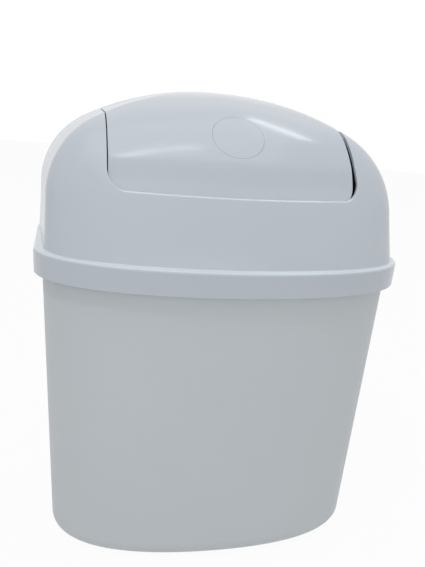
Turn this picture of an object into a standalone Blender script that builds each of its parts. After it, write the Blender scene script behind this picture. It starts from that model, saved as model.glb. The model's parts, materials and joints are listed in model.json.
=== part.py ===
"""Wall bin: a D-shaped bucket on a wall plate, a domed hood, and a swing flap balanced on two pins.

Lengths are in metres. Pieces are laid out from the wall (y = 0) and the bucket's underside (z = 0),
and one empty then brings the middle of the wall plate's back to the scene's origin.
"""
import math

import bmesh
import bpy

# Plan of the body, seen from above: a flat back, straight sides and a curved front. The shares are the
# half width at the wall, the depth where the sides end, and three pulls on the front's curve
WALL_CORNER_RADIUS = 0.0200
CORNER_LIMIT_SHARE = 0.40
BUCKET_PLAN_SHARES = (1.000, 0.630, 0.343, 0.970, 0.900)
RIM_PLAN_SHARES = (0.995, 0.635, 0.350, 0.933, 0.825)
DOME_PLAN_SHARES = (1.034, 0.645, 0.350, 1.000, 0.818)
CROWN_PLAN_SHARES = (1.034, 0.700, 0.333, 0.970, 0.300)

# Hood: an overlapping skirt, a rounded ledge, and a dome with a three-centred arch
LEDGE_HEIGHT = 0.2254
HOOD_WALL = 0.0025
HOOD_WALL_GAP = 0.0010
SKIRT_HALF_WIDTH = 0.1341
SKIRT_DEPTH = 0.1650
SKIRT_HEIGHT = 0.0177
SKIRT_FLARE = 0.0006
LEDGE_RADIUS = 0.0016
LEDGE_RISE = 0.0006
LEDGE_SIDE_STEP = 0.0058
LEDGE_FRONT_STEP = 0.0032
DOME_LEAN = 0.0009
DOME_RISE = 0.1120
SHOULDER_RISE_SHARE = 0.317
SHOULDER_ROUND_SHARE = 0.779
NOSE_RISE_SHARE = 1.014
NOSE_ROUND_SHARE = 0.235
CROWN_END_SHARE = 0.9996

# Bucket
BUCKET_WALL = 0.0025
BUCKET_SIDE_TAPER = 0.0107
BUCKET_FRONT_TAPER = 0.0100
BUCKET_EDGE_RADIUS = 0.0125
BUCKET_RIM_OUTSET = 0.0016
BUCKET_RIM_SLOPE = 0.0045
BUCKET_RIM_HEIGHT = 0.0048
BUCKET_RIM_CHAMFER = 0.0012
BUCKET_TO_SKIRT_GAP = 0.0013

# Opening in the hood, and the flap that closes it
OPENING_SIDE_MARGIN = 0.0386
OPENING_RISE = 0.0449
OPENING_CORNER_RADIUS = 0.0130
OPENING_REAR_SHARE = 0.1761
FLAP_GAP = 0.0018
FLAP_WALL = 0.0025
FLAP_RIM_DEPTH = 0.0090
FLAP_LAP = 0.0031
FLAP_RECESS = 0.0029
FLAP_RECESS_RISE = 0.0057
FLAP_RECESS_BLEND = 0.0180

# Blank round inlay on the flap
DISC_RADIUS = 0.0182
DISC_THICKNESS = 0.0010
DISC_DROP = 0.0289

# Pivot: steel pins in the flap's ears turn in flanged bushes in the hood's brackets
PIVOT_DEPTH_SHARE = 0.4635
PIVOT_DROP = 0.0339
PIN_RADIUS = 0.0030
PIN_HEAD_RADIUS = 0.0046
PIN_HEAD_THICKNESS = 0.0014
PIN_END_OUTSET = 0.0010
EAR_THICKNESS = 0.0058
EAR_RADIUS = 0.0080
BUSH_WALL = 0.0014
BUSH_BORE_CLEARANCE = 0.0002
BUSH_FLANGE_RADIUS = 0.0065
BUSH_FLANGE_THICKNESS = 0.0013
BUSH_END_OUTSET = 0.0010
BRACKET_THICKNESS = 0.0040
BRACKET_RADIUS = 0.0090
EAR_TO_BUSH_GAP = 0.0012

# Counterweight: a steel bar in two hangers under the flap's rear
BAR_RADIUS = 0.0040
BAR_CHAMFER = 0.0005
BAR_DEPTH_SHARE = 0.2596
BAR_DROP = 0.0294
BAR_END_OUTSET = 0.0040
HANGER_SIDE_MARGIN = 0.0210
HANGER_THICKNESS = 0.0030
HANGER_RADIUS = 0.0075
CLIP_RADIUS = 0.0068
CLIP_THICKNESS = 0.0010

# Stop behind the opening: a shelf with two soft pads that the flap's rear edge rests on
SHELF_SIDE_MARGIN = 0.0388
SHELF_LAP = 0.0060
SHELF_THICKNESS = 0.0022
SHELF_WEB = 0.0030
PAD_THICKNESS = 0.0022
PAD_LENGTH = 0.0160
PAD_WIDTH = 0.0045
PAD_SIDE_MARGIN = 0.0140

# Wall plate: a tongue on a neck, and the hanger on the bucket's back that slides down over it
PLATE_DROP = 0.0374
PLATE_HEIGHT = 0.0700
TONGUE_HALF_WIDTH = 0.0460
TONGUE_THICKNESS = 0.0034
TONGUE_LEAD = 0.0060
NECK_HALF_WIDTH = 0.0383
NECK_THICKNESS = 0.0046
SCREW_HOLE_RADIUS = 0.0026
SCREW_HEAD_RADIUS = 0.0052
SCREW_SINK = 0.0026
SCREW_SPACING_X = 0.0480
SCREW_SPACING_Z = 0.0400
HANGER_WEB = 0.0040
HANGER_STOP = 0.0040
HANGER_WALL_GAP = 0.0010
HANGER_SHORT = 0.0030

# Soft buffers that keep the bucket's foot off the wall
BUFFER_RADIUS = 0.0100
BUFFER_CHAMFER = 0.0010
BUFFER_HEIGHT = 0.0300
BUFFER_SPACING = 0.1400
BUFFER_WALL_GAP = 0.0004

# Clearances and working values
SEAT_GAP = 0.0003
PIN_GAP = 0.00012
ROOT_DEPTH = 0.0012
CUT_OVERRUN = 0.0200
WELD_DISTANCE = 0.00001

WALL_LINE_STEPS = 3
WALL_CORNER_STEPS = 4
SIDE_STEPS = 3
FRONT_STEPS = 16
EDGE_STEPS = 4
LEDGE_STEPS = 3
DOME_STEPS = 20
ARC_STEPS = 6
ROUND_STEPS = 24
DISC_STEPS = 54
SMOOTH_ANGLE = math.radians(32)

# Worked out from the sizes above
DOME_TOP = LEDGE_HEIGHT + DOME_RISE
DOME_FOOT_HALF_WIDTH = SKIRT_HALF_WIDTH - LEDGE_SIDE_STEP
DOME_HALF_WIDTH = DOME_FOOT_HALF_WIDTH - DOME_LEAN
DOME_DEPTH = SKIRT_DEPTH - LEDGE_FRONT_STEP
SHOULDER_RISE = SHOULDER_RISE_SHARE * DOME_RISE
SHOULDER_HEIGHT = LEDGE_HEIGHT + SHOULDER_RISE
SHOULDER_RADIUS = SHOULDER_ROUND_SHARE * (DOME_RISE - SHOULDER_RISE)
OPENING_HALF_WIDTH = DOME_HALF_WIDTH - OPENING_SIDE_MARGIN
OPENING_BOTTOM = LEDGE_HEIGHT + OPENING_RISE
OPENING_REAR = OPENING_REAR_SHARE * DOME_DEPTH
HANG_DEPTH = TONGUE_THICKNESS + NECK_THICKNESS
BUCKET_BACK = HANG_DEPTH + SEAT_GAP
BUCKET_TOP = LEDGE_HEIGHT - HOOD_WALL - SEAT_GAP
BUCKET_RIM_INSET = HOOD_WALL + BUCKET_TO_SKIRT_GAP + BUCKET_RIM_OUTSET
BUCKET_TOP_HALF_WIDTH = SKIRT_HALF_WIDTH - BUCKET_RIM_INSET
BUCKET_TOP_DEPTH = SKIRT_DEPTH - BUCKET_RIM_INSET
BUCKET_FOOT_HALF_WIDTH = BUCKET_TOP_HALF_WIDTH - BUCKET_SIDE_TAPER
BUCKET_FOOT_DEPTH = BUCKET_TOP_DEPTH - BUCKET_FRONT_TAPER
PLATE_TOP = LEDGE_HEIGHT - PLATE_DROP
PLATE_BOTTOM = PLATE_TOP - PLATE_HEIGHT
PLATE_CENTRE = PLATE_BOTTOM + PLATE_HEIGHT / 2
FLAP_HALF_WIDTH = OPENING_HALF_WIDTH - FLAP_GAP
FLAP_BOTTOM = OPENING_BOTTOM - FLAP_LAP
FLAP_REAR = OPENING_REAR + FLAP_GAP
FLAP_RECESS_START = OPENING_BOTTOM + FLAP_RECESS_RISE
DISC_HEIGHT = DOME_TOP - DISC_DROP
PIVOT_DISTANCE = PIVOT_DEPTH_SHARE * DOME_DEPTH
PIVOT_HEIGHT = DOME_TOP - PIVOT_DROP
BAR_DISTANCE = BAR_DEPTH_SHARE * DOME_DEPTH
BAR_HEIGHT = DOME_TOP - BAR_DROP
EAR_OUTER = FLAP_HALF_WIDTH - PIN_GAP
BUSH_START = FLAP_HALF_WIDTH + EAR_TO_BUSH_GAP
BRACKET_START = BUSH_START + BUSH_FLANGE_THICKNESS + PIN_GAP
BUSH_BORE = PIN_RADIUS + BUSH_BORE_CLEARANCE
BUSH_SLEEVE = BUSH_BORE + BUSH_WALL
BUSH_SEAT_RADIUS = BUSH_SLEEVE + PIN_GAP
HANGER_OFFSET = FLAP_HALF_WIDTH - HANGER_SIDE_MARGIN
CLIP_START = HANGER_OFFSET + HANGER_THICKNESS / 2 + SEAT_GAP
SHELF_HALF_WIDTH = OPENING_HALF_WIDTH - SHELF_SIDE_MARGIN
PAD_OFFSET = SHELF_HALF_WIDTH - PAD_SIDE_MARGIN
PAD_TOP_INSET = FLAP_WALL + SEAT_GAP
PAD_BOTTOM_INSET = PAD_TOP_INSET + PAD_THICKNESS
SHELF_TOP_INSET = PAD_BOTTOM_INSET + SEAT_GAP
SHELF_BOTTOM_INSET = SHELF_TOP_INSET + SHELF_THICKNESS

# Colour, roughness and metallic of each material
FINISHES = {
    "hood_plastic": ((0.560, 0.590, 0.640), 0.34, 0.0),
    "bucket_plastic": ((0.480, 0.510, 0.520), 0.48, 0.0),
    "bush_plastic": ((0.750, 0.750, 0.720), 0.45, 0.0),
    "bright_steel": ((0.560, 0.570, 0.580), 0.32, 1.0),
    "zinc_plate": ((0.620, 0.630, 0.640), 0.40, 1.0),
    "soft_rubber": ((0.060, 0.060, 0.065), 0.80, 0.0),
}


class Assembly:
    """The part's collections, its layout empty and its materials."""

    def __init__(self):
        for item in list(bpy.data.objects):
            bpy.data.objects.remove(item, do_unlink=True)
        self.parts = self.collection("wall_bin")
        self.cutters = self.collection("wall_bin_cutters")
        self.layout = self.empty("bin_layout", (0.0, 0.0, -PLATE_CENTRE), None)
        self.flap_axis = self.empty("flap_axis", (0.0, -PIVOT_DISTANCE, PIVOT_HEIGHT), self.layout)
        self.materials = {}
        for name, finish in FINISHES.items():
            self.materials[name] = self.material(name, *finish)

    def collection(self, name):
        made = bpy.data.collections.new(name)
        bpy.context.scene.collection.children.link(made)
        return made

    def empty(self, name, location, parent):
        item = bpy.data.objects.new(name, None)
        self.parts.objects.link(item)
        item.location = location
        item.parent = parent
        return item

    def material(self, name, colour, roughness, metallic):
        made = bpy.data.materials.new(name)
        made.use_nodes = True
        shader = made.node_tree.nodes["Principled BSDF"]
        shader.inputs["Base Color"].default_value = (*colour, 1.0)
        shader.inputs["Roughness"].default_value = roughness
        shader.inputs["Metallic"].default_value = metallic
        return made

    def part(self, item, material, on_flap=False):
        """Keep a piece at its place in the layout; the flap's pieces hang on the flap's axis."""
        self.parts.objects.link(item)
        item.parent = self.layout
        if on_flap:
            item.parent = self.flap_axis
            item.location = item.location - self.flap_axis.location
        item.data.materials.append(self.materials[material])
        if item.data.polygons:
            item.data.shade_smooth()
            item.data.set_sharp_from_angle(angle=SMOOTH_ANGLE)
        return item

    def cutter(self, item):
        self.cutters.objects.link(item)
        item.parent = self.layout
        item.hide_render = True
        item.display_type = "WIRE"
        return item

    def group(self, name, items):
        """Cutters that work in one step."""
        made = bpy.data.collections.new(name)
        self.cutters.children.link(made)
        for item in items:
            self.cutter(item)
            made.objects.link(item)
        return made

    def dome_core(self, name, inset, recessed=False):
        """A closed body that fills the dome up to an inset from its face."""
        return self.cutter(loft(name, dome_rings(inset, recessed)))


def new_object(name, mesh):
    data = bpy.data.meshes.new(name)
    mesh.to_mesh(data)
    mesh.free()
    return bpy.data.objects.new(name, data)


def loft(name, rings, closed_top=True):
    """A body through rings of equally many points, with flat ends."""
    mesh = bmesh.new()
    loops = [[mesh.verts.new(point) for point in ring] for ring in rings]
    for low, high in zip(loops, loops[1:]):
        for index in range(len(low)):
            after = (index + 1) % len(low)
            mesh.faces.new((low[index], low[after], high[after], high[index]))
    mesh.faces.new(list(reversed(loops[0])))
    if closed_top:
        mesh.faces.new(loops[-1])
    bmesh.ops.recalc_face_normals(mesh, faces=mesh.faces)
    return new_object(name, mesh)


def box(name, low, high):
    mesh = bmesh.new()
    bmesh.ops.create_cube(mesh, size=1.0)
    for vertex in mesh.verts:
        for axis in range(3):
            vertex.co[axis] = mix(low[axis], high[axis], 0.5 + vertex.co[axis])
    return new_object(name, mesh)


def slab(name, outline, thickness):
    """A flat outline as a filled curve, extruded and made a mesh that Booleans can use."""
    curve = bpy.data.curves.new(name, "CURVE")
    curve.dimensions = "2D"
    curve.fill_mode = "BOTH"
    curve.extrude = thickness / 2
    spline = curve.splines.new("POLY")
    spline.points.add(len(outline) - 1)
    for point, (across, up) in zip(spline.points, outline):
        point.co = (across, up, 0.0, 1.0)
    spline.use_cyclic_u = True
    source = bpy.data.objects.new(name, curve)
    bpy.context.scene.collection.objects.link(source)
    graph = bpy.context.evaluated_depsgraph_get()
    data = bpy.data.meshes.new_from_object(source.evaluated_get(graph))
    bpy.data.objects.remove(source, do_unlink=True)
    mesh = bmesh.new()
    mesh.from_mesh(data)
    bmesh.ops.remove_doubles(mesh, verts=mesh.verts, dist=WELD_DISTANCE)
    bmesh.ops.recalc_face_normals(mesh, faces=mesh.faces)
    return new_object(name, mesh)


def turned(name, profile, closed=False, steps=ROUND_STEPS):
    """A turned body: (radius, height) points down its outer side, spun about Z."""
    data = bpy.data.meshes.new(name)
    points = [(radius, 0.0, height) for radius, height in profile]
    edges = [(index, index + 1) for index in range(len(points) - 1)]
    if closed:
        edges.append((len(points) - 1, 0))
    data.from_pydata(points, edges, [])
    item = bpy.data.objects.new(name, data)
    screw = item.modifiers.new("turn", "SCREW")
    screw.steps = steps
    screw.render_steps = steps
    screw.use_merge_vertices = True
    screw.merge_threshold = WELD_DISTANCE
    screw.use_smooth_shade = True
    return item


def lay_across(item, x, y, z, side=1):
    """Point an upright body to one side, with its foot at a place in the layout."""
    item.rotation_euler = (0.0, side * math.pi / 2, 0.0)
    item.location = (x, y, z)
    return item


def boolean(item, tool, operation="DIFFERENCE"):
    """Cut, join or keep the overlap with one cutter, or cut or join with a group of them."""
    step = item.modifiers.new(tool.name, "BOOLEAN")
    step.operation = operation
    step.solver = "EXACT"
    if isinstance(tool, bpy.types.Collection):
        step.operand_type = "COLLECTION"
        step.collection = tool
    else:
        step.object = tool


def mix(low, high, share):
    return low + (high - low) * share


def mix_shares(low, high, share):
    return [mix(a, b, share) for a, b in zip(low, high)]


def half_outline(half_width, depth, back, plan_shares):
    """Right half of a level section: back line, wall corner, straight side and curved front."""
    wall_share, side_share, front_share, corner_out_share, corner_in_share = plan_shares
    wall_half_width = wall_share * half_width
    radius = min(WALL_CORNER_RADIUS, CORNER_LIMIT_SHARE * min(wall_half_width, depth))
    side_depth = side_share * depth
    points = []
    for step in range(WALL_LINE_STEPS):
        points.append(((wall_half_width - radius) * step / WALL_LINE_STEPS, -back))
    for step in range(WALL_CORNER_STEPS):
        angle = math.pi / 2 * step / WALL_CORNER_STEPS
        x = wall_half_width - radius + radius * math.sin(angle)
        points.append((x, -back - radius + radius * math.cos(angle)))
    for step in range(SIDE_STEPS):
        share = step / SIDE_STEPS
        points.append((mix(wall_half_width, half_width, share), -mix(back + radius, side_depth, share)))
    corner_depth = mix(side_depth, depth, corner_in_share)
    for step in range(FRONT_STEPS + 1):
        far = step / FRONT_STEPS
        near = 1 - far
        side_pull, front_pull = 3 * near ** 2 * far, 3 * near * far ** 2
        x = half_width * (near ** 3 + side_pull * corner_out_share + front_pull * front_share)
        y = near ** 3 * side_depth + side_pull * corner_depth + (front_pull + far ** 3) * depth
        points.append((x, -y))
    return points


def level_ring(half_width, depth, back, plan_shares, height):
    """A whole level section, from the middle of the back and round."""
    right = half_outline(half_width, depth, back, plan_shares)
    left = [(-x, y) for x, y in reversed(right[1:-1])]
    return [(x, y, height) for x, y in right + left]


def bucket_rings():
    """Levels of the bucket's outside: rounded foot, drafted wall, and a rim that turns outward."""
    rim_start = BUCKET_TOP - BUCKET_RIM_HEIGHT - BUCKET_RIM_SLOPE

    def ring(height, outset):
        share = height / rim_start
        return level_ring(mix(BUCKET_FOOT_HALF_WIDTH, BUCKET_TOP_HALF_WIDTH, share) + outset,
                          mix(BUCKET_FOOT_DEPTH, BUCKET_TOP_DEPTH, share) + outset,
                          BUCKET_BACK - outset,
                          mix_shares(BUCKET_PLAN_SHARES, RIM_PLAN_SHARES, min(share, 1)), height)

    rings = []
    for step in range(EDGE_STEPS + 1):
        angle = math.pi / 2 * step / EDGE_STEPS
        inset = BUCKET_EDGE_RADIUS * (1 - math.sin(angle))
        rings.append(ring(BUCKET_EDGE_RADIUS * (1 - math.cos(angle)), -inset))
    rings.append(ring(rim_start, 0))
    rings.append(ring(rim_start + BUCKET_RIM_SLOPE, BUCKET_RIM_OUTSET))
    rings.append(ring(BUCKET_TOP - BUCKET_RIM_CHAMFER, BUCKET_RIM_OUTSET))
    rings.append(ring(BUCKET_TOP, BUCKET_RIM_OUTSET - BUCKET_RIM_CHAMFER))
    return rings


def arch_half_width(height, inset):
    """Half width of the dome's three-centred arch at a height."""
    spring = DOME_HALF_WIDTH - inset
    if height <= SHOULDER_HEIGHT:
        share = (SHOULDER_HEIGHT - height) / SHOULDER_RISE
        return spring + DOME_LEAN * share ** 2
    radius = SHOULDER_RADIUS - inset
    centre_x = spring - radius
    rise = DOME_TOP - inset - SHOULDER_HEIGHT
    crown_radius = (centre_x ** 2 + rise ** 2 - radius ** 2) / (2 * (rise - radius))
    crown_drop = crown_radius - rise
    joint = crown_drop * crown_radius / (crown_radius - radius) - crown_drop
    above = height - SHOULDER_HEIGHT
    if above < joint:
        return centre_x + math.sqrt(radius ** 2 - above ** 2)
    return math.sqrt(crown_radius ** 2 - (above + crown_drop) ** 2)


def nose_depth(height, inset=0.0):
    """Distance from the wall to the dome's front at a height, on the middle line."""
    share = max(height - LEDGE_HEIGHT, 0) / (DOME_RISE - inset)
    return (DOME_DEPTH - inset) * (1 - share ** NOSE_RISE_SHARE) ** NOSE_ROUND_SHARE


def flap_recess(height):
    """How far the flap lies behind the dome's face: fully at the lip, and not at all above."""
    share = 1 - (height - FLAP_RECESS_START) / FLAP_RECESS_BLEND
    share = min(max(share, 0), 1)
    return FLAP_RECESS * share * share * (3 - 2 * share)


def dome_rings(inset=0.0, recessed=False):
    """Levels of the dome from its foot to the crown, each one set in from the face."""
    low = LEDGE_HEIGHT + LEDGE_RISE - inset
    high = DOME_TOP - inset
    last = math.asin(CROWN_END_SHARE)
    rings = []
    for step in range(DOME_STEPS + 1):
        height = mix(low, high, math.sin(last * step / DOME_STEPS))
        share = max(height - LEDGE_HEIGHT, 0) / (DOME_RISE - inset)
        recess = flap_recess(height) if recessed else 0
        rings.append(level_ring(arch_half_width(height, inset) - recess,
                                nose_depth(height, inset) - recess,
                                HOOD_WALL_GAP + inset,
                                mix_shares(DOME_PLAN_SHARES, CROWN_PLAN_SHARES, share), height))
    return rings


def skirt_rings(inset=0.0, below=0.0):
    """Levels of the hood's skirt and of the rounded ledge on top of it."""
    def ring(outset, height):
        return level_ring(SKIRT_HALF_WIDTH + outset - inset, SKIRT_DEPTH + outset - inset,
                          HOOD_WALL_GAP + inset, RIM_PLAN_SHARES, height)

    rings = [ring(0, LEDGE_HEIGHT - SKIRT_HEIGHT - below)]
    for step in range(LEDGE_STEPS + 1):
        angle = math.pi / 2 * step / LEDGE_STEPS
        rings.append(ring(SKIRT_FLARE - LEDGE_RADIUS * (1 - math.cos(angle)),
                          LEDGE_HEIGHT - inset - LEDGE_RADIUS * (1 - math.sin(angle))))
    return rings


def opening_prism(name, half_width, bottom, corner_radius, rear):
    """A body through the hood's front, from its nose back to rear, with round lower corners."""
    top = DOME_TOP + CUT_OVERRUN
    outline = [(-half_width, top)]
    for start, side in ((math.pi, -1), (math.pi * 3 / 2, 1)):
        for step in range(ARC_STEPS + 1):
            angle = start + math.pi / 2 * step / ARC_STEPS
            outline.append((side * (half_width - corner_radius) + corner_radius * math.cos(angle),
                            bottom + corner_radius + corner_radius * math.sin(angle)))
    outline.append((half_width, top))
    front = DOME_DEPTH + CUT_OVERRUN
    item = slab(name, outline, front - rear)
    item.rotation_euler = (math.pi / 2, 0.0, 0.0)
    item.location = (0.0, -(front + rear) / 2, 0.0)
    return item


def hanging_lug(name, distance, height, radius, middle, thickness):
    """An upright plate with a round lower end about a point, reaching up past the dome."""
    top = DOME_TOP + CUT_OVERRUN
    outline = [(-distance - radius, top)]
    for step in range(2 * ARC_STEPS + 1):
        angle = math.pi + math.pi * step / (2 * ARC_STEPS)
        outline.append((-distance + radius * math.cos(angle), height + radius * math.sin(angle)))
    outline.append((-distance + radius, top))
    item = slab(name, outline, thickness)
    item.rotation_euler = (math.pi / 2, 0.0, math.pi / 2)
    item.location = (middle, 0.0, 0.0)
    return item


def cross_hole(name, distance, height, radius, middle, length):
    hole = turned(name, [(0, length), (radius, length), (radius, 0), (0, 0)])
    return lay_across(hole, middle - length / 2, -distance, height)


def build_wall_plate(bin_):
    """A tongue for the bucket's hanger, on a neck that stands it off the wall, with four screw holes."""
    lead = TONGUE_HALF_WIDTH - TONGUE_LEAD
    outline = [(-TONGUE_HALF_WIDTH, PLATE_BOTTOM), (TONGUE_HALF_WIDTH, PLATE_BOTTOM),
               (TONGUE_HALF_WIDTH, PLATE_TOP - TONGUE_LEAD), (lead, PLATE_TOP),
               (-lead, PLATE_TOP), (-TONGUE_HALF_WIDTH, PLATE_TOP - TONGUE_LEAD)]
    plate = slab("wall_plate", outline, TONGUE_THICKNESS)
    plate.rotation_euler = (math.pi / 2, 0.0, 0.0)
    plate.location = (0.0, -NECK_THICKNESS - TONGUE_THICKNESS / 2, 0.0)
    bin_.part(plate, "zinc_plate")
    neck = box("plate_neck", (-NECK_HALF_WIDTH, -NECK_THICKNESS - TONGUE_THICKNESS / 2, PLATE_BOTTOM),
               (NECK_HALF_WIDTH, 0.0, PLATE_TOP))
    boolean(plate, bin_.cutter(neck), "UNION")
    holes = []
    for side in (-1, 1):
        for level in (-1, 1):
            hole = turned("screw_hole", [
                (0, CUT_OVERRUN), (SCREW_HEAD_RADIUS, CUT_OVERRUN), (SCREW_HEAD_RADIUS, 0),
                (SCREW_HOLE_RADIUS, -SCREW_SINK), (SCREW_HOLE_RADIUS, -HANG_DEPTH - CUT_OVERRUN),
                (0, -HANG_DEPTH - CUT_OVERRUN)])
            hole.rotation_euler = (math.pi / 2, 0.0, 0.0)
            hole.location = (side * SCREW_SPACING_X / 2, -HANG_DEPTH,
                             PLATE_CENTRE + level * SCREW_SPACING_Z / 2)
            holes.append(hole)
    boolean(plate, bin_.group("screw_holes", holes))


def build_bucket(bin_):
    bucket = bin_.part(loft("bucket", bucket_rings(), closed_top=False), "bucket_plastic")
    shell = bucket.modifiers.new("wall", "SOLIDIFY")
    shell.thickness = BUCKET_WALL
    shell.offset = -1
    shell.use_even_offset = True
    boolean(bucket, wall_hanger(bin_), "UNION")


def wall_hanger(bin_):
    """Downward-open pocket on the bucket's back, which slides over the wall plate's tongue."""
    outer = TONGUE_HALF_WIDTH + SEAT_GAP + HANGER_WEB
    room = PLATE_TOP + SEAT_GAP
    low = PLATE_BOTTOM + HANGER_SHORT
    lip = NECK_THICKNESS - SEAT_GAP
    root = BUCKET_BACK + ROOT_DEPTH
    hanger = box("wall_hanger", (-outer, -root, low), (outer, -HANGER_WALL_GAP, room + HANGER_STOP))
    tongue_room = box("tongue_room", (-TONGUE_HALF_WIDTH - SEAT_GAP, -BUCKET_BACK, low - CUT_OVERRUN),
                      (TONGUE_HALF_WIDTH + SEAT_GAP, -lip, room))
    neck_room = box("neck_room", (-NECK_HALF_WIDTH - SEAT_GAP, -lip - SEAT_GAP, low - CUT_OVERRUN),
                    (NECK_HALF_WIDTH + SEAT_GAP, CUT_OVERRUN, room))
    boolean(hanger, bin_.group("hanger_room", [tongue_room, neck_room]))
    return bin_.cutter(hanger)


def build_wall_buffer(bin_, side, name):
    length = BUCKET_BACK - SEAT_GAP - BUFFER_WALL_GAP
    buffer = turned("wall_buffer_" + name, [
        (0, length), (BUFFER_RADIUS, length), (BUFFER_RADIUS, BUFFER_CHAMFER),
        (BUFFER_RADIUS - BUFFER_CHAMFER, 0), (0, 0)])
    buffer.rotation_euler = (math.pi / 2, 0.0, 0.0)
    buffer.location = (side * BUFFER_SPACING / 2, -BUFFER_WALL_GAP, BUFFER_HEIGHT)
    bin_.part(buffer, "soft_rubber")


def build_hood(bin_):
    hood = bin_.part(loft("hood", skirt_rings() + dome_rings()), "hood_plastic")
    hollow = loft("hood_hollow", skirt_rings(HOOD_WALL, CUT_OVERRUN) + dome_rings(HOOD_WALL))
    opening = opening_prism("hood_opening", OPENING_HALF_WIDTH, OPENING_BOTTOM, OPENING_CORNER_RADIUS,
                            OPENING_REAR)
    boolean(hood, bin_.cutter(hollow))
    boolean(hood, bin_.cutter(opening))
    root = bin_.dome_core("hood_root_core", ROOT_DEPTH)
    ribs, seats = [stop_shelf(bin_, root)], []
    for side in (-1, 1):
        middle = side * (BRACKET_START + BRACKET_THICKNESS / 2)
        bracket = hanging_lug("bracket", PIVOT_DISTANCE, PIVOT_HEIGHT, BRACKET_RADIUS, middle,
                              BRACKET_THICKNESS)
        boolean(bracket, root, "INTERSECT")
        ribs.append(bracket)
        seats.append(cross_hole("bush_seat", PIVOT_DISTANCE, PIVOT_HEIGHT, BUSH_SEAT_RADIUS, middle,
                                2 * BRACKET_THICKNESS))
    boolean(hood, bin_.group("hood_ribs", ribs), "UNION")
    boolean(hood, bin_.group("bush_seats", seats))


def stop_shelf(bin_, root):
    """Shelf under the flap's rear edge, on a web behind the hood's opening."""
    front = FLAP_REAR + SHELF_LAP
    low, high = OPENING_BOTTOM, DOME_TOP + CUT_OVERRUN
    wide = SHELF_HALF_WIDTH + CUT_OVERRUN
    shelf = box("stop_shelf", (-SHELF_HALF_WIDTH, -front, low),
                (SHELF_HALF_WIDTH, SHELF_WEB - OPENING_REAR, high))
    boolean(shelf, root, "INTERSECT")
    boolean(shelf, bin_.dome_core("shelf_under_core", SHELF_BOTTOM_INSET))
    pocket = box("shelf_pocket", (-wide, -front - CUT_OVERRUN, low), (wide, -OPENING_REAR, high))
    boolean(pocket, bin_.dome_core("shelf_top_core", SHELF_TOP_INSET))
    boolean(shelf, bin_.cutter(pocket))
    return shelf


def build_stop_pad(bin_, side, name, top_core, under_core):
    """Soft strip on the shelf, shaped to the flap's underside."""
    front = FLAP_REAR + SHELF_LAP - SEAT_GAP
    middle = side * PAD_OFFSET
    pad = box("stop_pad_" + name, (middle - PAD_LENGTH / 2, -front, OPENING_BOTTOM),
              (middle + PAD_LENGTH / 2, PAD_WIDTH - front, DOME_TOP))
    bin_.part(pad, "soft_rubber")
    boolean(pad, top_core, "INTERSECT")
    boolean(pad, under_core)


def build_flap(bin_):
    """Moulded shell with a turned-in rim, two pivot ears and two hangers for the bar."""
    flap = opening_prism("flap", FLAP_HALF_WIDTH, FLAP_BOTTOM, OPENING_CORNER_RADIUS, FLAP_REAR)
    bin_.part(flap, "hood_plastic", on_flap=True)
    boolean(flap, bin_.dome_core("flap_face_core", 0.0, recessed=True), "INTERSECT")
    boolean(flap, bin_.dome_core("flap_rim_core", FLAP_RIM_DEPTH, recessed=True))
    hollow = opening_prism("flap_hollow", FLAP_HALF_WIDTH - FLAP_WALL, FLAP_BOTTOM + FLAP_WALL,
                           OPENING_CORNER_RADIUS - FLAP_WALL, FLAP_REAR - CUT_OVERRUN)
    boolean(hollow, bin_.dome_core("flap_hollow_core", FLAP_WALL, recessed=True), "INTERSECT")
    boolean(flap, bin_.cutter(hollow))
    root = bin_.dome_core("flap_root_core", ROOT_DEPTH)
    lugs, holes = [], []
    for side in (-1, 1):
        ear_middle = side * (EAR_OUTER - EAR_THICKNESS / 2)
        lugs.append(hanging_lug("ear", PIVOT_DISTANCE, PIVOT_HEIGHT, EAR_RADIUS, ear_middle,
                                EAR_THICKNESS))
        lugs.append(hanging_lug("bar_hanger", BAR_DISTANCE, BAR_HEIGHT, HANGER_RADIUS,
                                side * HANGER_OFFSET, HANGER_THICKNESS))
        holes.append(cross_hole("pin_hole", PIVOT_DISTANCE, PIVOT_HEIGHT, PIN_RADIUS + PIN_GAP,
                                ear_middle, 2 * EAR_THICKNESS))
        holes.append(cross_hole("bar_hole", BAR_DISTANCE, BAR_HEIGHT, BAR_RADIUS + PIN_GAP,
                                side * HANGER_OFFSET, 2 * HANGER_THICKNESS))
    for lug in lugs:
        boolean(lug, root, "INTERSECT")
    pocket = disc_plug("disc_pocket", DISC_RADIUS + SEAT_GAP)
    boolean(pocket, bin_.dome_core("disc_pocket_core", DISC_THICKNESS + SEAT_GAP, recessed=True))
    boolean(flap, bin_.group("flap_lugs", lugs), "UNION")
    boolean(flap, bin_.group("flap_holes", holes + [pocket]))


def disc_plug(name, radius):
    """A round plug through the flap's face, square to it."""
    slope = (nose_depth(DISC_HEIGHT - FLAP_WALL) - nose_depth(DISC_HEIGHT + FLAP_WALL)) / (2 * FLAP_WALL)
    plug = turned(name, [(0, radius), (radius, radius), (radius, -radius / 2), (0, -radius / 2)],
                  steps=DISC_STEPS)
    plug.rotation_euler = (math.pi / 2 - math.atan(slope), 0.0, 0.0)
    plug.location = (0.0, -nose_depth(DISC_HEIGHT), DISC_HEIGHT)
    return plug


def build_flap_disc(bin_):
    disc = bin_.part(disc_plug("flap_disc", DISC_RADIUS), "hood_plastic", on_flap=True)
    boolean(disc, bin_.dome_core("disc_face_core", 0.0, recessed=True), "INTERSECT")
    boolean(disc, bin_.dome_core("disc_under_core", DISC_THICKNESS, recessed=True))


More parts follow.
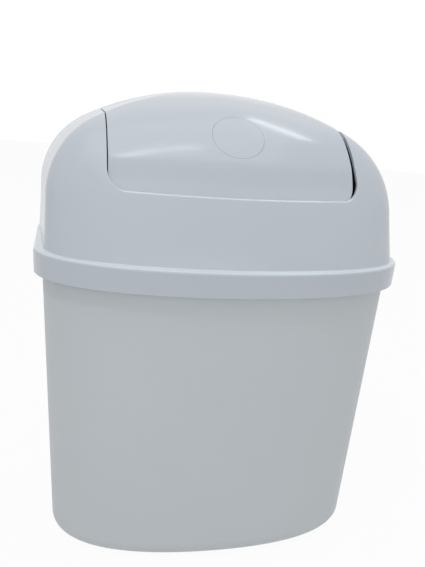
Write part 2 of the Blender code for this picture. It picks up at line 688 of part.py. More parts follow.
def build_pivot(bin_, side, name):
    """A headed pin pressed in the flap's ear, and the flanged bush in the hood that it turns in."""
    ear_inner = EAR_OUTER - EAR_THICKNESS
    bush_length = BUSH_FLANGE_THICKNESS + PIN_GAP + BRACKET_THICKNESS + BUSH_END_OUTSET
    pin_length = BUSH_START + bush_length + PIN_END_OUTSET - ear_inner
    head = PIN_HEAD_THICKNESS + PIN_GAP
    pin = turned("pivot_pin_" + name, [
        (0, pin_length), (PIN_RADIUS, pin_length), (PIN_RADIUS, -PIN_GAP),
        (PIN_HEAD_RADIUS, -PIN_GAP), (PIN_HEAD_RADIUS, -head), (0, -head)])
    lay_across(pin, side * ear_inner, -PIVOT_DISTANCE, PIVOT_HEIGHT, side)
    bin_.part(pin, "bright_steel", on_flap=True)
    bush = turned("pivot_bush_" + name, [
        (BUSH_SLEEVE, bush_length), (BUSH_SLEEVE, BUSH_FLANGE_THICKNESS),
        (BUSH_FLANGE_RADIUS, BUSH_FLANGE_THICKNESS), (BUSH_FLANGE_RADIUS, 0),
        (BUSH_BORE, 0), (BUSH_BORE, bush_length)], closed=True)
    lay_across(bush, side * BUSH_START, -PIVOT_DISTANCE, PIVOT_HEIGHT, side)
    bin_.part(bush, "bush_plastic")


def build_counterweight(bin_):
    """Steel bar through the flap's hangers, with a push-on clip outside each one."""
    half = CLIP_START + CLIP_THICKNESS + BAR_END_OUTSET
    bar = turned("counterweight_bar", [
        (0, half), (BAR_RADIUS - BAR_CHAMFER, half), (BAR_RADIUS, half - BAR_CHAMFER),
        (BAR_RADIUS, BAR_CHAMFER - half), (BAR_RADIUS - BAR_CHAMFER, -half), (0, -half)])
    lay_across(bar, 0.0, -BAR_DISTANCE, BAR_HEIGHT)
    bin_.part(bar, "bright_steel", on_flap=True)
    bore = BAR_RADIUS + PIN_GAP
    for side, name in ((-1, "left"), (1, "right")):
        clip = turned("bar_clip_" + name, [
            (CLIP_RADIUS, CLIP_THICKNESS), (CLIP_RADIUS, 0), (bore, 0), (bore, CLIP_THICKNESS)],
            closed=True)
        lay_across(clip, side * CLIP_START, -BAR_DISTANCE, BAR_HEIGHT, side)
        bin_.part(clip, "zinc_plate", on_flap=True)


def main():
    bin_ = Assembly()
    build_wall_plate(bin_)
    build_bucket(bin_)
    build_hood(bin_)
    build_flap(bin_)
    build_flap_disc(bin_)
    build_counterweight(bin_)
    pad_top = bin_.dome_core("pad_top_core", PAD_TOP_INSET)
    pad_under = bin_.dome_core("pad_under_core", PAD_BOTTOM_INSET)
    for side, name in ((-1, "left"), (1, "right")):
        build_wall_buffer(bin_, side, name)
        build_stop_pad(bin_, side, name, pad_top, pad_under)
        build_pivot(bin_, side, name)


main()
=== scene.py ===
"""Wall bin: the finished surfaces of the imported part, with its light, floor and camera.

Lengths are in metres. Shapes are laid out from the wall (y = 0) and the bucket's underside (z = 0),
as the part's own source lays them out, and every piece is then lowered to the part's frame.
"""

import json
import math

import bmesh
import bpy
from mathutils import Matrix, Vector
from mathutils.bvhtree import BVHTree
from mathutils.interpolate import poly_3d_calc

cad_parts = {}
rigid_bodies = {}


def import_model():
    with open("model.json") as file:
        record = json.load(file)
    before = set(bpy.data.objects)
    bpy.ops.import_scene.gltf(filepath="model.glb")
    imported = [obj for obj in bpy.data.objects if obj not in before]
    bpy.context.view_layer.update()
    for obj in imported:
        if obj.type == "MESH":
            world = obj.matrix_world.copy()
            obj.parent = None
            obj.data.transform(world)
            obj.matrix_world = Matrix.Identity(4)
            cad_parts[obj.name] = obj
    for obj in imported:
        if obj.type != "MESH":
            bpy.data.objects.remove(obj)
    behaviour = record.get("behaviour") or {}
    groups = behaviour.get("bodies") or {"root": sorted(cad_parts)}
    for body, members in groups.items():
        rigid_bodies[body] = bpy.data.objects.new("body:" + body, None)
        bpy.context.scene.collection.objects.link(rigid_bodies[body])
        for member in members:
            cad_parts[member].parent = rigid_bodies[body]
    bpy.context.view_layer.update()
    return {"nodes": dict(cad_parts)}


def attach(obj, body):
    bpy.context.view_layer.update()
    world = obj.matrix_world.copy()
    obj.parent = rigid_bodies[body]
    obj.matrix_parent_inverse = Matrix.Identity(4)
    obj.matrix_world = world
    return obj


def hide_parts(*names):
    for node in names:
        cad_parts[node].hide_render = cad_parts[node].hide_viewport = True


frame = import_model()

# The camera of the photograph, fitted to the bin's outline
PHOTO_HEIGHT = 567
FOCAL_PIXELS = 666.531
CAMERA_PLACE = (-0.119991, -0.564608, 0.176188)
CAMERA_YAW, CAMERA_PITCH, CAMERA_ROLL = 0.241, 0.263, 0.081
SENSOR_SIZE = 36.0
NEAR_CLIP = 0.01

# Studio light
WORLD_COLOUR = (0.96, 0.98, 1.0)
WORLD_STRENGTH = 0.50
FLOOR_SHADE = 0.76
FLOOR_GLOW = 0.95
FLOOR_RADIUS = 4.0
FLOOR_DROP = 0.0005
LIT_POINT = (0, -0.08, 0.12)
LAMP_COLOUR = (0.95, 0.98, 1.0)

# The key is small and only gives the light a direction, so no gloss shows it
UNSEEN_IN_GLOSS = ("key",)

# Lamps: name, ends of the middle line, height and watts
LAMPS = (
    ("key", (-0.68, -0.60, 1.40), (-0.56, -0.72, 1.40), 0.15, 2.2),
    ("front_low", (-1.1, -1.65, 0.30), (0.8, -1.95, 0.30), 1.2, 5.6),
    ("overhead", (-1.1, -0.30, 1.90), (1.1, -0.30, 1.90), 1.6, 8.4),
    ("back_high", (-0.8, 0.75, 1.30), (1.0, 0.75, 1.30), 0.8, 0.9),
    ("strip_left", (-0.66, -0.72, 1.28), (-0.38, -0.48, 1.46), 0.045, 0.83),
    ("strip_middle", (-0.38, -0.47, 1.46), (0.00, -0.48, 1.50), 0.045, 0.44),
    ("strip_right", (0.50, 0.46, 1.36), (0.84, 0.177, 1.259), 0.045, 1.00),
    ("cheek_left", (-0.90, -0.25, 1.30), (-0.60, -0.20, 1.44), 0.30, 0.2),
)

# Height of the part's origin, the middle of the wall plate, over the bucket's underside
PLATE_CENTRE = 0.1530

# Clearances: of pieces that seat on each other, of pins in their holes, of the rim in the skirt
SEAT_GAP = 0.0003
PIN_GAP = 0.00012
BUCKET_TO_SKIRT_GAP = 0.0013

# Plan of the body: (wall, side, front, corner out, corner in) shares of its sections
WALL_CORNER_RADIUS = 0.0215
CORNER_LIMIT_SHARE = 0.40
BUCKET_PLAN = (1.000, 0.630, 0.343, 0.970, 0.900)
RIM_PLAN = (0.995, 0.635, 0.350, 0.933, 0.825)
DOME_PLAN = (1.034, 0.645, 0.350, 1.000, 0.818)
CROWN_PLAN = (1.034, 0.700, 0.333, 0.970, 0.300)

# Hood
LEDGE_HEIGHT = 0.2254
HOOD_WALL = 0.0025
HOOD_WALL_GAP = 0.0010
SKIRT_HALF_WIDTH = 0.1341
SKIRT_DEPTH = 0.1650
SKIRT_HEIGHT = 0.0177
SKIRT_FLARE = 0.0006
LEDGE_RADIUS = 0.0022
LEDGE_RISE = 0.0006
DOME_FOOT_HALF_WIDTH = 0.1283
DOME_LEAN = 0.0009
DOME_HALF_WIDTH = DOME_FOOT_HALF_WIDTH - DOME_LEAN
DOME_DEPTH = 0.1618
DOME_RISE = 0.1120
DOME_TOP = LEDGE_HEIGHT + DOME_RISE
SHOULDER_RISE_SHARE = 0.317
SHOULDER_ROUND_SHARE = 0.779
SHOULDER_RISE = SHOULDER_RISE_SHARE * DOME_RISE
SHOULDER_HEIGHT = LEDGE_HEIGHT + SHOULDER_RISE
SHOULDER_RADIUS = SHOULDER_ROUND_SHARE * (DOME_RISE - SHOULDER_RISE)
NOSE_RISE_SHARE = 1.014
NOSE_ROUND_SHARE = 0.235
CROWN_END_SHARE = 0.9996

# Bucket
BUCKET_WALL = 0.0025
BUCKET_BACK = 0.0083
BUCKET_FOOT_HALF_WIDTH = 0.1180
BUCKET_FOOT_DEPTH = 0.1496
BUCKET_EDGE_RADIUS = 0.0125
BUCKET_RIM_OUTSET = 0.0016
BUCKET_RIM_SLOPE = 0.0045
BUCKET_RIM_HEIGHT = 0.0048
BUCKET_TOP = LEDGE_HEIGHT - HOOD_WALL - SEAT_GAP
BUCKET_RIM_START = BUCKET_TOP - BUCKET_RIM_HEIGHT - BUCKET_RIM_SLOPE
BUCKET_RIM_INSET = HOOD_WALL + BUCKET_TO_SKIRT_GAP + BUCKET_RIM_OUTSET
BUCKET_TOP_HALF_WIDTH = SKIRT_HALF_WIDTH - BUCKET_RIM_INSET
BUCKET_TOP_DEPTH = SKIRT_DEPTH - BUCKET_RIM_INSET

# Opening and flap
OPENING_HALF_WIDTH = 0.0888
OPENING_BOTTOM = LEDGE_HEIGHT + 0.0449
OPENING_CORNER_RADIUS = 0.0130
OPENING_REAR_SHARE = 0.1761
OPENING_REAR = OPENING_REAR_SHARE * DOME_DEPTH
FLAP_GAP = 0.0018
FLAP_WALL = 0.0025
FLAP_RIM_DEPTH = 0.0090
FLAP_RECESS = 0.0029
FLAP_RECESS_START = OPENING_BOTTOM + 0.0057
FLAP_RECESS_BLEND = 0.0180
FLAP_HALF_WIDTH = OPENING_HALF_WIDTH - FLAP_GAP
FLAP_BOTTOM = OPENING_BOTTOM - 0.0031
FLAP_REAR = OPENING_REAR + FLAP_GAP

# The flap hangs a little to the left in its opening, as the gaps in the photo show
OPENING_WIDER = 0.0003
OPENING_MIDDLE = 0.0013
FLAP_MIDDLE = -0.0001

# Disc inlaid in the flap
DISC_RADIUS = 0.0182
DISC_THICKNESS = 0.0010
DISC_HEIGHT = DOME_TOP - 0.0281
DISC_GAP = 0.00012

# Pivot and counterweight
PIVOT_DEPTH_SHARE = 0.4635
PIVOT_DISTANCE = PIVOT_DEPTH_SHARE * DOME_DEPTH
PIVOT_HEIGHT = DOME_TOP - 0.0339
PIN_RADIUS = 0.0030
EAR_THICKNESS = 0.0058
EAR_RADIUS = 0.0080
EAR_MIDDLE = FLAP_HALF_WIDTH - PIN_GAP - EAR_THICKNESS / 2
EAR_TO_BUSH_GAP = 0.0012
BUSH_FLANGE_THICKNESS = 0.0013
BRACKET_THICKNESS = 0.0040
BRACKET_RADIUS = 0.0090
BRACKET_MIDDLE = (FLAP_HALF_WIDTH + EAR_TO_BUSH_GAP + BUSH_FLANGE_THICKNESS + PIN_GAP
                  + BRACKET_THICKNESS / 2)
BUSH_SEAT_RADIUS = 0.00472
BAR_RADIUS = 0.0040
BAR_DEPTH_SHARE = 0.2596
BAR_DISTANCE = BAR_DEPTH_SHARE * DOME_DEPTH
BAR_HEIGHT = DOME_TOP - 0.0294
BAR_HANGER_OFFSET = 0.0660
BAR_HANGER_THICKNESS = 0.0030
BAR_HANGER_RADIUS = 0.0075

# Stop shelf behind the opening
SHELF_HALF_WIDTH = 0.0500
SHELF_LAP = 0.0060
SHELF_THICKNESS = 0.0022
PAD_THICKNESS = 0.0022
SHELF_TOP_INSET = FLAP_WALL + SEAT_GAP + PAD_THICKNESS + SEAT_GAP
SHELF_BOTTOM_INSET = SHELF_TOP_INSET + SHELF_THICKNESS
SHELF_WEB = 0.0030

# Wall plate and the hanger that slides over its tongue
PLATE_BOTTOM = 0.1180
PLATE_TOP = 0.1880
TONGUE_HALF_WIDTH = 0.0460
NECK_HALF_WIDTH = 0.0383
NECK_THICKNESS = 0.0046
HANGER_WEB = 0.0040
HANGER_STOP = 0.0040
HANGER_SHORT = 0.0030

# Painted highlight on the hood's low faces: the up-facing ledge and the opening's lower lip take a paler
# colour where light from above would fall. The slopes are how far up a face looks where it starts and is full
PAINTED_HIGHLIGHT_FADE = 0.0020
PAINTED_HIGHLIGHT_TOP = OPENING_BOTTOM + PAINTED_HIGHLIGHT_FADE - PLATE_CENTRE
PAINTED_HIGHLIGHT_SLOPES = (0.45, 0.85)
PAINTED_HIGHLIGHT_COLOUR = (0.680, 0.735, 0.780)

# Mouldings: name, two colours, roughness and its spread, and the grain's scale and depth
HOOD_PLASTIC = ("hood_finish", (0.538, 0.570, 0.618), (0.568, 0.596, 0.641), 0.19, 0.04, 1400.0, 0.000008)
BUCKET_PLASTIC = ("bucket_finish", (0.578, 0.606, 0.622), (0.610, 0.632, 0.649), 0.46, 0.06, 1100.0, 0.00003)
BUSH_PLASTIC = ("bush_finish", (0.70, 0.70, 0.66), (0.78, 0.78, 0.75), 0.45, 0.06, 1500.0, 0.00002)

# Metals: name, two colours, roughness, and how the marks are stretched
BRIGHT_STEEL = ("bright_steel_finish", (0.50, 0.51, 0.52), (0.62, 0.63, 0.64), 0.30, (0.02, 1, 1))
ZINC = ("zinc_finish", (0.54, 0.55, 0.57), (0.68, 0.69, 0.70), 0.42, (1, 1, 0.1))

# Rubber: its two colours
RUBBER_COLOURS = ((0.035, 0.035, 0.038), (0.085, 0.085, 0.088))

# Scales of the slow drift of shade, the specks in it, the uneven gloss and a metal's marks
DRIFT_SCALE = 9.0
SPECK_SCALE = 900.0
GLOSS_SCALE = 40.0
MARK_SCALE = 700.0

# The part's own pieces that stay as they are, by finish
ZINC_PIECES = ("wall_plate", "bar_clip_left", "bar_clip_right")
STEEL_PIECES = ("pivot_pin_left", "pivot_pin_right", "counterweight_bar")
BUSH_PIECES = ("pivot_bush_left", "pivot_bush_right")
RUBBER_PIECES = ("wall_buffer_left", "wall_buffer_right", "stop_pad_left", "stop_pad_right")

# Small roundings of the mouldings, and working values
ROOT_DEPTH = 0.0012
LIP_ROUND = 0.0013
FLAP_EDGE_ROUND = 0.0008
DISC_EDGE_ROUND = 0.00012
LEDGE_FOOT_ROUND = 0.0008
SKIRT_EDGE_ROUND = 0.0009
RIM_EDGE_ROUND = 0.0010
OVERRUN = 0.0200
DEEP = 0.0120
LIP_TURN = 0.80
SIDE_CRISPNESS = 0.45
HOLLOW_RUN = 0.0110
HANGER_EDGE_ROUND = 0.0007
RIM_BLEND = 0.0020
PLUG_INNER_POINT = (0, -0.070, 0.272)
PLUG_OUTER_POINT = (0, -0.30, 0.48)

# How closely a cut face is matched with the smooth surface that it came from
SURFACE_REACH = 0.00004
SHARP_ANGLE = 35
SAME_FACE = 0.97
SAME_SIDE = 0.8


def mix(low, high, share):
    """A value between two others."""
    return low + (high - low) * share


def mix_plans(low, high, share):
    """The plan between two others."""
    return [mix(a, b, share) for a, b in zip(low, high)]


class Detail:
    """How finely the level sections of the body are stepped."""
    line, corner, side, front = 4, 10, 8, 56


class PlainDetail(Detail):
    """Steps for sections that only shape the inside."""
    line, corner, side, front = 3, 5, 4, 26


def half_section(half_width, depth, back, plan, detail=Detail):
    """Right half of a level section: back line, wall corner, straight side and curved front."""
    wall_share, side_share, front_share, corner_out, corner_in = plan
    wall_half_width = wall_share * half_width
    limit = CORNER_LIMIT_SHARE * min(wall_half_width, depth)
    radius = WALL_CORNER_RADIUS * (1 - math.exp(-limit / WALL_CORNER_RADIUS))
    side_depth = side_share * depth
    points = []
    for step in range(detail.line):
        points.append(((wall_half_width - radius) * step / detail.line, -back))
    for step in range(detail.corner):
        angle = math.pi / 2 * step / detail.corner
        points.append((wall_half_width - radius + radius * math.sin(angle),
                       -back - radius + radius * math.cos(angle)))
    for step in range(detail.side):
        share = step / detail.side
        points.append((mix(wall_half_width, half_width, share), -mix(back + radius, side_depth, share)))
    corner_depth = mix(side_depth, depth, corner_in)
    for step in range(detail.front + 1):
        far = step / detail.front
        near = 1 - far
        side_pull, front_pull = 3 * near ** 2 * far, 3 * near * far ** 2
        x = half_width * (near ** 3 + side_pull * corner_out + front_pull * front_share)
        y = near ** 3 * side_depth + side_pull * corner_depth + (front_pull + far ** 3) * depth
        points.append((x, -y))
    return points


def section(half_width, depth, back, plan, height, detail=Detail):
    """A whole level section, from the middle of the back and round."""
    right = half_section(half_width, depth, back, plan, detail)
    left = [(-x, y) for x, y in reversed(right[1:-1])]
    return [Vector((x, y, height)) for x, y in right + left]


def turn_corner(before, corner, after, steps):
    """Sections that round a corner between two others, both tangent to it."""
    rings = []
    for step in range(steps + 1):
        far = step / steps
        near = 1 - far
        rings.append([a * near ** 2 + c * (2 * near * far) + b * far ** 2
                      for a, c, b in zip(before, corner, after)])
    return rings


def between(low, high, share):
    """A section between two others."""
    return [a.lerp(b, share) for a, b in zip(low, high)]


def arch_half_width(height, inset):
    """Half width of the dome's three-centred arch at a height."""
    spring = DOME_HALF_WIDTH - inset
    if height <= SHOULDER_HEIGHT:
        return spring + DOME_LEAN * ((SHOULDER_HEIGHT - height) / SHOULDER_RISE) ** 2
    radius = SHOULDER_RADIUS - inset
    centre_x = spring - radius
    rise = DOME_TOP - inset - SHOULDER_HEIGHT
    crown_radius = (centre_x ** 2 + rise ** 2 - radius ** 2) / (2 * (rise - radius))
    crown_drop = crown_radius - rise
    joint = crown_drop * crown_radius / (crown_radius - radius) - crown_drop
    above = height - SHOULDER_HEIGHT
    if above < joint:
        return centre_x + math.sqrt(radius ** 2 - above ** 2)
    return math.sqrt(crown_radius ** 2 - (above + crown_drop) ** 2)


def nose_depth(height, inset=0.0):
    """Distance from the wall to the dome's front at a height, on the middle line."""
    share = max(height - LEDGE_HEIGHT, 0) / (DOME_RISE - inset)
    return (DOME_DEPTH - inset) * (1 - share ** NOSE_RISE_SHARE) ** NOSE_ROUND_SHARE


def flap_recess(height):
    """How far the flap lies behind the dome's face: fully at the lip, and not at all above."""
    share = min(max(1 - (height - FLAP_RECESS_START) / FLAP_RECESS_BLEND, 0), 1)
    return FLAP_RECESS * share * share * (3 - 2 * share)


def dome_section(height, inset, recessed, detail):
    """A level section of the dome, or of the flap's face where it is recessed."""
    share = max(height - LEDGE_HEIGHT, 0) / (DOME_RISE - inset)
    recess = flap_recess(height) if recessed else 0
    return section(arch_half_width(height, inset) - recess, nose_depth(height, inset) - recess,
                   HOOD_WALL_GAP + inset, mix_plans(DOME_PLAN, CROWN_PLAN, share), height, detail)


def dome_sections(inset=0.0, recessed=False, steps=72, detail=Detail):
    """Level sections of the dome from its foot to the crown, each one set in from the face."""
    low = LEDGE_HEIGHT + LEDGE_RISE - inset
    high = DOME_TOP - inset
    last = math.asin(CROWN_END_SHARE)
    return [dome_section(mix(low, high, math.sin(last * step / steps)), inset, recessed, detail)
            for step in range(steps + 1)]


def skirt_section(outset, inset, height):
    """A level section of the skirt."""
    return section(SKIRT_HALF_WIDTH + outset - inset, SKIRT_DEPTH + outset - inset,
                   HOOD_WALL_GAP + inset, RIM_PLAN, height)


def skirt_sections(inset, steps=8):
    """Level sections of the skirt and of the rounded ledge on top of it."""
    rings = [skirt_section(0, inset, LEDGE_HEIGHT - SKIRT_HEIGHT)]
    for step in range(steps + 1):
        angle = math.pi / 2 * step / steps
        rings.append(skirt_section(SKIRT_FLARE - LEDGE_RADIUS * (1 - math.cos(angle)), inset,
                                   LEDGE_HEIGHT - inset - LEDGE_RADIUS * (1 - math.sin(angle))))
    return rings


def wall_sections(inset):
    """Sections from the skirt's foot over the ledge and its hollow corner to the crown."""
    skirt = skirt_sections(inset)
    dome = dome_sections(inset)
    span = (skirt[-1][0] - dome[0][0]).length
    width = abs(skirt[-1][len(skirt[-1]) // 2].y - dome[0][len(dome[0]) // 2].y)
    before = between(dome[0], skirt[-1], min(LEDGE_FOOT_ROUND / max(width, span), 0.9))
    keep = [ring for ring in dome if ring[0].z > dome[0][0].z + LEDGE_FOOT_ROUND]
    after = dome_section(dome[0][0].z + LEDGE_FOOT_ROUND, inset, False, Detail)
    return skirt + turn_corner(before, dome[0], after, 6) + keep


class Bench:
    """Working objects: bodies that are cut and joined before they become pieces."""

    def __init__(self):
        self.scrap = bpy.data.collections.new("bench")
        bpy.context.scene.collection.children.link(self.scrap)

    def lay(self, name, mesh):
        """Put a finished mesh on the bench as a body."""
        bmesh.ops.recalc_face_normals(mesh, faces=mesh.faces)
        data = bpy.data.meshes.new(name)
        mesh.to_mesh(data)
        mesh.free()
        item = bpy.data.objects.new(name, data)
        self.scrap.objects.link(item)
        return item

    def loft(self, name, rings, low_point=None, high_point=None):
        """A closed body through sections; an end is flat, or runs to a point."""
        mesh = bmesh.new()
        loops = [[mesh.verts.new(point) for point in ring] for ring in rings]
        for low, high in zip(loops, loops[1:]):
            for index in range(len(low)):
                after = (index + 1) % len(low)
                mesh.faces.new((low[index], low[after], high[after], high[index]))
        for loop, point in ((loops[0], low_point), (loops[-1], high_point)):
            if point is None:
                mesh.faces.new(loop)
                continue
            tip = mesh.verts.new(point)
            for index in range(len(loop)):
                mesh.faces.new((loop[index], loop[(index + 1) % len(loop)], tip))
        return self.lay(name, mesh)

    def block(self, name, low, high, round_edge=0.0):
        """A box between two corners, with its edges rounded where asked."""
        mesh = bmesh.new()
        bmesh.ops.create_cube(mesh, size=1.0)
        for vertex in mesh.verts:
            for axis in range(3):
                vertex.co[axis] = mix(low[axis], high[axis], 0.5 + vertex.co[axis])
        if round_edge:
            bmesh.ops.bevel(mesh, geom=mesh.edges, offset=round_edge, segments=3, affect="EDGES",
                            profile=0.5)
        return self.lay(name, mesh)

    def slab(self, name, outline, thickness, place):
        """A flat outline given a thickness, then placed by a matrix."""
        mesh = bmesh.new()
        front = [mesh.verts.new(place @ Vector((x, y, thickness / 2))) for x, y in outline]
        back = [mesh.verts.new(place @ Vector((x, y, -thickness / 2))) for x, y in outline]
        mesh.faces.new(front)
        mesh.faces.new(list(reversed(back)))
        for index in range(len(outline)):
            after = (index + 1) % len(outline)
            mesh.faces.new((front[index], back[index], back[after], front[after]))
        return self.lay(name, mesh)

    def rod(self, name, start, end, radius, steps=64):
        """A round bar between two points."""
        start, end = Vector(start), Vector(end)
        turn = (end - start).to_track_quat("Z", "Y").to_matrix()
        rings = []
        for middle in (start, end):
            ring = []
            for step in range(steps):
                angle = 2 * math.pi * step / steps
                ring.append(middle + turn @ Vector((radius * math.cos(angle), radius * math.sin(angle), 0)))
            rings.append(ring)
        return self.loft(name, rings)

    def work(self, item, tool, how="DIFFERENCE"):
        """Cut, join or keep the overlap, at once."""
        step = item.modifiers.new("work", "BOOLEAN")
        step.operation = how
        step.solver = "EXACT"
        step.object = tool
        graph = bpy.context.evaluated_depsgraph_get()
        data = bpy.data.meshes.new_from_object(item.evaluated_get(graph))
        item.modifiers.clear()
        item.data = data
        return item

    def gather(self, name, items):
        """Bodies that don't touch, as one."""
        mesh = bmesh.new()
        for item in items:
            mesh.from_mesh(item.data)
        return self.lay(name, mesh)

    def clear(self):
        """Take the working bodies away."""
        for item in list(self.scrap.objects):
            bpy.data.objects.remove(item, do_unlink=True)
        bpy.data.collections.remove(self.scrap)


class Face:
    """A smooth surface from which points and normals are read."""

    def __init__(self, item):
        data = item.data
        self.points = [vertex.co.copy() for vertex in data.vertices]
        self.corners = [list(polygon.vertices) for polygon in data.polygons]
        self.flat = [polygon.normal.copy() for polygon in data.polygons]
        self.normals = self.smooth_normals(data)
        self.tree = BVHTree.FromPolygons(self.points, self.corners)

    def smooth_normals(self, data):
        """Normals of the points, where large end faces have no say."""
        sums = [Vector((0, 0, 0)) for point in self.points]
        for polygon in data.polygons:
            if len(polygon.vertices) > 4:
                continue
            for index in polygon.vertices:
                sums[index] += polygon.normal * polygon.area
        return [total.normalized() if total.length > 0 else Vector((0, 0, 1)) for total in sums]

    def read(self, spot, face):
        """The smooth normal at a point of a face."""
        corners = self.corners[face]
        if len(corners) > 4:
            return self.flat[face]
        shares = poly_3d_calc([self.points[index] for index in corners], spot)
        total = Vector((0, 0, 0))
        for share, index in zip(shares, corners):
            total += self.normals[index] * share
        return total.normalized()

    def hit(self, start, direction):
        """The point and normal where a line from inside meets the surface."""
        spot, normal, face, distance = self.tree.ray_cast(Vector(start), Vector(direction))
        return spot, self.read(spot, face)

    def near(self, point):
        """The surface's nearest point, with its face and distance."""
        return self.tree.find_nearest(point)


def settle_normals(item, faces):
    """Give cut faces the normals of the smooth surfaces they were cut from."""
    data = item.data
    data.shade_smooth()
    data.set_sharp_from_angle(angle=math.radians(SHARP_ANGLE))
    own = [corner.vector.copy() for corner in data.corner_normals]
    normals = [None] * len(data.loops)
    for polygon in data.polygons:
        source = None
        for face in faces:
            spot, flat, index, distance = face.near(polygon.center)
            if distance is None or distance > SURFACE_REACH:
                continue
            if abs(flat.dot(polygon.normal)) > SAME_FACE:
                source = face
                break
        for loop in polygon.loop_indices:
            normals[loop] = own[loop]
            if source is None:
                continue
            spot, flat, index, distance = source.near(data.vertices[data.loops[loop].vertex_index].co)
            if distance < SURFACE_REACH:
                normal = source.read(spot, index)
                if normal.dot(polygon.normal) < 0:
                    normal = -normal
                if normal.dot(polygon.normal) > SAME_SIDE:
                    normals[loop] = normal
    data.normals_split_custom_set(normals)


class EdgePoint:
    """A point of the opening's edge: its place, the wall's way out, and the way along the face."""

    def __init__(self, spot, normal, outward):
        self.spot = spot
        self.normal = normal
        self.ease = 1 - SIDE_CRISPNESS * abs(outward.x)
        self.wall = (normal - outward * normal.dot(outward)).normalized()
        self.along = (outward - normal * normal.dot(outward)).normalized()


def edge_path(face, middle, half_width, bottom, radius, rear, steps=40):
    """The outline of the opening or of the flap on the dome's face, once round."""
    spring = bottom + radius

    def side_part(side):
        points = []
        for step in range(steps + 1):
            angle = math.pi / 2 * (1 - step / steps)
            way = Vector((0, -math.cos(angle), math.sin(angle)))
            spot, normal = face.hit((middle + side * half_width, -rear, spring), way)
            points.append(EdgePoint(spot, normal, Vector((side, 0, 0))))
        for step in range(1, 12):
            angle = math.pi / 2 * step / 12
            out = Vector((side * math.cos(angle), 0, -math.sin(angle)))
            spot, normal = face.hit((middle + side * (half_width - radius) + radius * out.x, -rear,
                                     spring + radius * out.z), (0, -1, 0))
            points.append(EdgePoint(spot, normal, out))
        return points

    right, left = side_part(1), side_part(-1)
    low = []
    for step in range(2 * steps + 1):
        x = middle + mix(half_width - radius, radius - half_width, step / (2 * steps))
        spot, normal = face.hit((x, -rear, bottom), (0, -1, 0))
        low.append(EdgePoint(spot, normal, Vector((0, 0, -1))))
    back = []
    for step in range(1, 2 * steps):
        x = middle + mix(-half_width, half_width, step / (2 * steps))
        spot, normal = face.hit((x, -rear, spring), (0, 0, 1))
        back.append(EdgePoint(spot, normal, Vector((0, 1, 0))))
    for corner in (right[0], left[0]):
        rear_edge = EdgePoint(corner.spot, corner.normal, Vector((0, 1, 0)))
        corner.along = corner.along + rear_edge.along
        corner.wall = Vector((0, 0, 1))
    return right + low + list(reversed(left)) + back


def rounded_plug(bench, name, path, roundness, side):
    """A body that fills the outline; it swells (side 1) or draws in (side -1) at the face."""
    rings = [[point.spot - point.wall * DEEP for point in path]]
    steps = 6
    for step in range(steps + 1):
        far = LIP_TURN * step / steps
        near = 1 - far
        rings.append([point.spot - point.wall * (roundness * point.ease * near ** 2)
                      + point.along * (side * roundness * point.ease * far ** 2) for point in path])
    straight = 2 * roundness
    last = []
    for point, spot in zip(path, rings[-1]):
        way = point.wall * (1 - LIP_TURN) + point.along * (side * LIP_TURN)
        last.append(spot + way * straight)
    rings.append(last)
    rings.append([spot + point.normal * OVERRUN for point, spot in zip(path, last)])
    return bench.loft(name, rings, low_point=PLUG_INNER_POINT, high_point=PLUG_OUTER_POINT)


def upright(middle):
    """Places a slab's outline of (distance along Y, height) at a distance across."""
    return Matrix(((0, 0, 1, middle), (1, 0, 0, 0), (0, 1, 0, 0), (0, 0, 0, 1)))


def hanging_lug(bench, name, distance, height, radius, middle, thickness):
    """An upright plate with a round lower end about a point, reaching up past the dome."""
    top = DOME_TOP + OVERRUN
    outline = [(-distance - radius, top)]
    for step in range(33):
        angle = math.pi + math.pi * step / 32
        outline.append((-distance + radius * math.cos(angle), height + radius * math.sin(angle)))
    outline.append((-distance + radius, top))
    return bench.slab(name, outline, thickness, upright(middle))


def cross_rod(bench, name, distance, height, radius, middle, length):
    """A round bar that lies across the bin."""
    return bench.rod(name, (middle - length / 2, -distance, height), (middle + length / 2, -distance, height),
                     radius)


def make_hood(bench):
    """The hood: one moulding with its opening, pivot brackets and stop shelf."""
    outer, inner = wall_sections(0.0), wall_sections(HOOD_WALL)
    foot_out, foot_in = outer[0], inner[0]
    rise_share = SKIRT_EDGE_ROUND / SKIRT_HEIGHT
    share = SKIRT_EDGE_ROUND / HOOD_WALL
    edge = (turn_corner(between(foot_in, inner[1], rise_share), foot_in, between(foot_in, foot_out, share), 4)
            + turn_corner(between(foot_out, foot_in, share), foot_out,
                          between(foot_out, outer[1], rise_share), 4))
    hood = bench.loft("hood_moulding", list(reversed(inner[1:])) + edge + outer[1:])
    faces = [Face(hood)]
    outer_face = Face(bench.loft("hood_face", outer))
    path = edge_path(outer_face, OPENING_MIDDLE, OPENING_HALF_WIDTH + OPENING_WIDER, OPENING_BOTTOM,
                     OPENING_CORNER_RADIUS, OPENING_REAR)
    opening = rounded_plug(bench, "hood_opening", path, LIP_ROUND, 1)
    faces.append(Face(opening))
    bench.work(hood, opening)
    root = bench.loft("hood_root", dome_sections(ROOT_DEPTH, detail=PlainDetail, steps=30))
    ribs = [make_shelf(bench, root)]
    for side in (-1, 1):
        bracket = hanging_lug(bench, "bracket", PIVOT_DISTANCE, PIVOT_HEIGHT, BRACKET_RADIUS,
                              side * BRACKET_MIDDLE, BRACKET_THICKNESS)
        seat = cross_rod(bench, "bush_seat", PIVOT_DISTANCE, PIVOT_HEIGHT, BUSH_SEAT_RADIUS,
                         side * BRACKET_MIDDLE, 2 * BRACKET_THICKNESS)
        bench.work(bracket, root, "INTERSECT")
        bench.work(bracket, seat)
        ribs.append(bracket)
    bench.work(hood, bench.gather("hood_ribs", ribs), "UNION")
    return hood, faces


